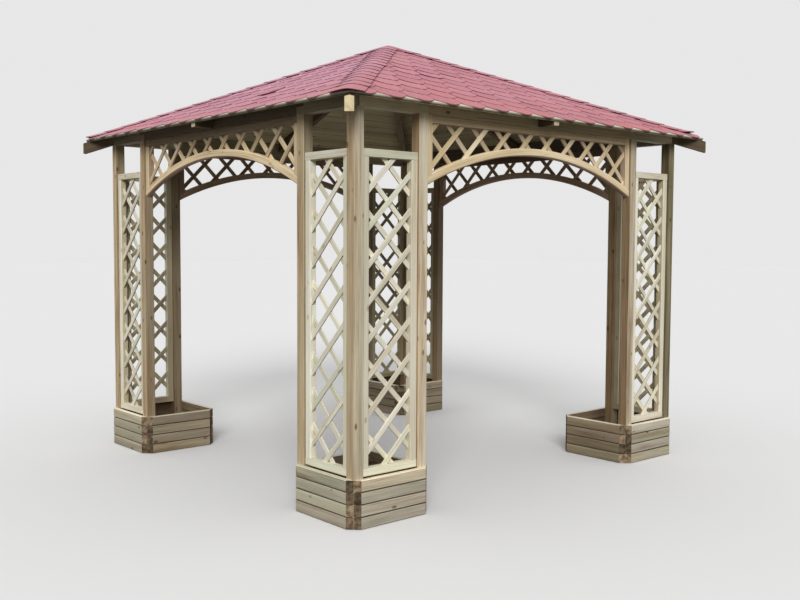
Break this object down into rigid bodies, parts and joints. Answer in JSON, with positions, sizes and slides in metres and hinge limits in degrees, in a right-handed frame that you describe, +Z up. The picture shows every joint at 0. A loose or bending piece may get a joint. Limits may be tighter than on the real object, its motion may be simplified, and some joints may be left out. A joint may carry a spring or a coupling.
{
  "type": "garden gazebo",
  "caption": "Open square garden gazebo with lattice panels and planter boxes at its corners, arched trellis over each way in and a shingled hip roof.",
  "frame": {"origin": "centre of the plan, on the ground under the posts", "axes": "+Z up; X and Y run square to the sides, and -Y is the side called south"},
  "size_m": [3.364, 3.364, 3.039],
  "materials": {
    "post_timber": "matt, weathered, pressure-treated softwood",
    "lattice_timber": "matt, planed softwood",
    "arch_timber": "matt, planed softwood",
    "beam_timber": "matt, weathered softwood",
    "rafter_timber": "matt, planed softwood",
    "planter_boards": "matt, weathered, pressure-treated softwood",
    "roof_boards": "matt, planed softwood",
    "roof_felt": "matt, mineral granules on bitumen felt",
    "ridge_felt": "matt, mineral granules on bitumen felt"
  },
  "bodies": {
    "root": {"southwest_corner_post": "post_timber", "southwest_planter": "planter_boards", "southwest_corner_beams": "beam_timber", "southwest_hip_rafter": "rafter_timber", "southeast_corner_post": "post_timber", "southeast_planter": "planter_boards", "southeast_corner_beams": "beam_timber", "southeast_hip_rafter": "rafter_timber", "northeast_corner_post": "post_timber", "northeast_planter": "planter_boards", "northeast_corner_beams": "beam_timber", "northeast_hip_rafter": "rafter_timber", "northwest_corner_post": "post_timber", "northwest_planter": "planter_boards", "northwest_corner_beams": "beam_timber", "northwest_hip_rafter": "rafter_timber", "south_archway_posts": "post_timber", "south_lattice_panel_left": "lattice_timber", "south_lattice_panel_right": "lattice_timber", "south_arch_spandrel": "arch_timber", "south_archway_beam": "beam_timber", "south_roof_boards": "roof_boards", "south_shingles": "roof_felt", "east_archway_posts": "post_timber", "east_lattice_panel_left": "lattice_timber", "east_lattice_panel_right": "lattice_timber", "east_arch_spandrel": "arch_timber", "east_archway_beam": "beam_timber", "east_roof_boards": "roof_boards", "east_shingles": "roof_felt", "north_archway_posts": "post_timber", "north_lattice_panel_left": "lattice_timber", "north_lattice_panel_right": "lattice_timber", "north_arch_spandrel": "arch_timber", "north_archway_beam": "beam_timber", "north_roof_boards": "roof_boards", "north_shingles": "roof_felt", "west_archway_posts": "post_timber", "west_lattice_panel_left": "lattice_timber", "west_lattice_panel_right": "lattice_timber", "west_arch_spandrel": "arch_timber", "west_archway_beam": "beam_timber", "west_roof_boards": "roof_boards", "west_shingles": "roof_felt", "common_rafters": "rafter_timber", "hip_cappings": "ridge_felt", "crown_block": "rafter_timber", "apex_cap": "ridge_felt"}
  },
  "joints": []
}
